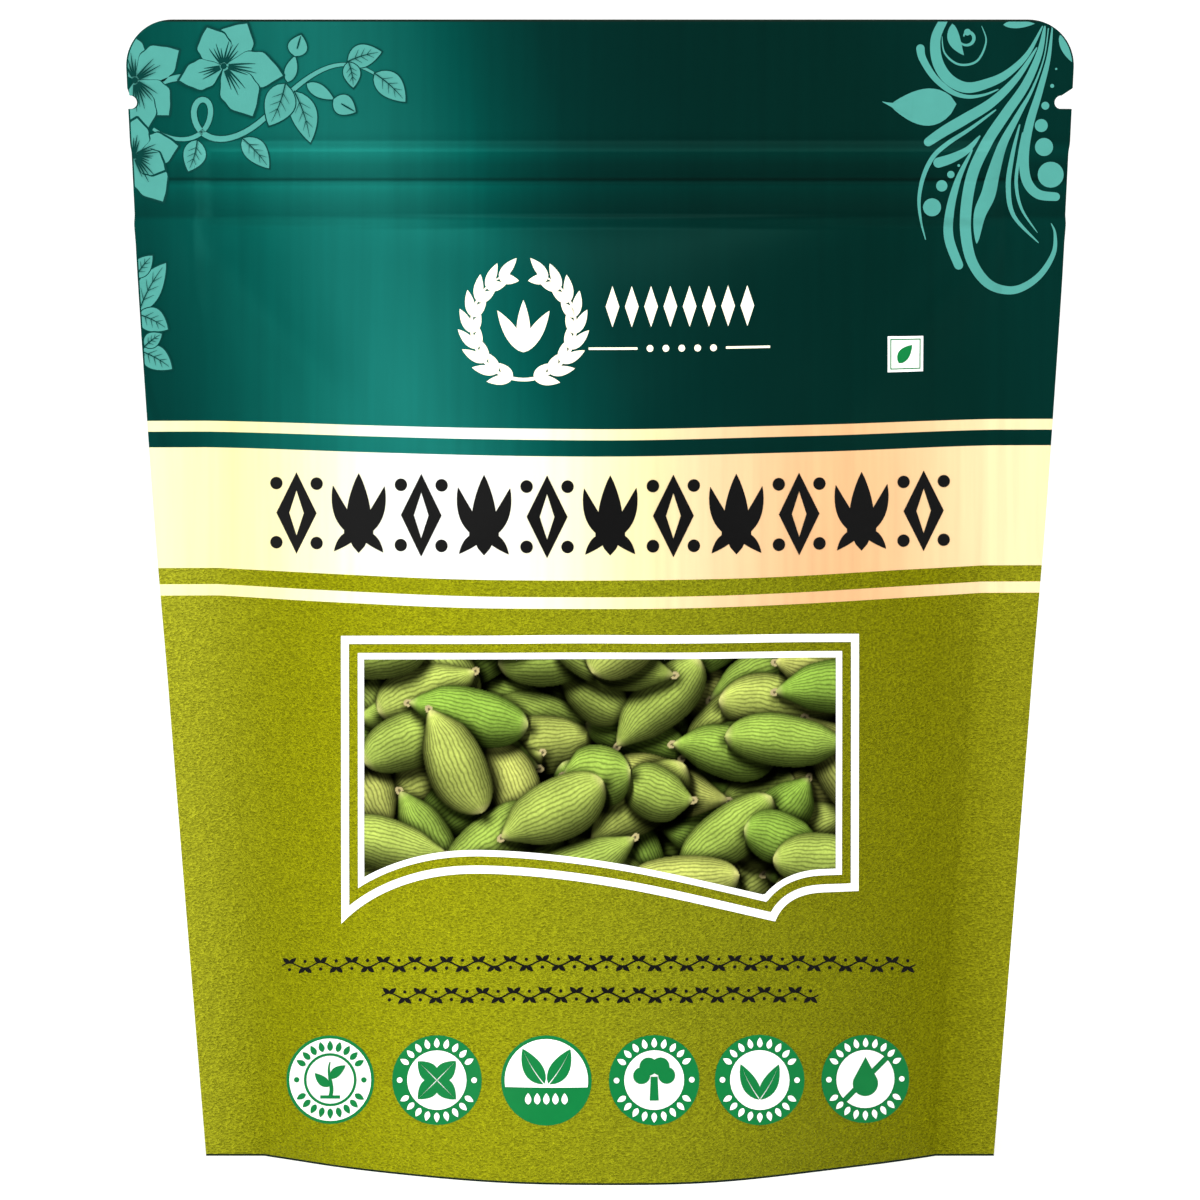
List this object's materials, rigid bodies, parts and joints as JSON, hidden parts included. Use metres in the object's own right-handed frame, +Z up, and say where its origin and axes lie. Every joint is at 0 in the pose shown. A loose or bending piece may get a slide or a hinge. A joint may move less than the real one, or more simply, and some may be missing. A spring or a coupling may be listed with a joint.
{
  "type": "stand-up zip pouch",
  "caption": "Filled stand-up pouch of printed film: two panels, a folded base gusset, a press-to-close zip, tear notches and a heap of cardamom pods inside.",
  "frame": {"origin": "middle of the base, on the surface that the pouch stands on", "axes": "+Z up along the pouch's height, +X across it from side seal to side seal, front panel facing -Y"},
  "size_m": [0.1674, 0.0734, 0.2025],
  "materials": {
    "front_film": "satin laminate, printed dark green, cream and embossed olive",
    "back_film": "satin laminate, printed dark green, cream and embossed olive",
    "gusset_film": "satin laminate, printed olive",
    "zip_plastic": "natural translucent polyethylene",
    "cardamom_pods": "dry, ribbed and matt"
  },
  "bodies": {
    "root": {"front_panel": "front_film", "back_panel": "back_film", "bottom_gusset": "gusset_film", "zip_strip_front": "zip_plastic", "zip_strip_back": "zip_plastic", "pod_fill": "cardamom_pods"}
  },
  "joints": []
}
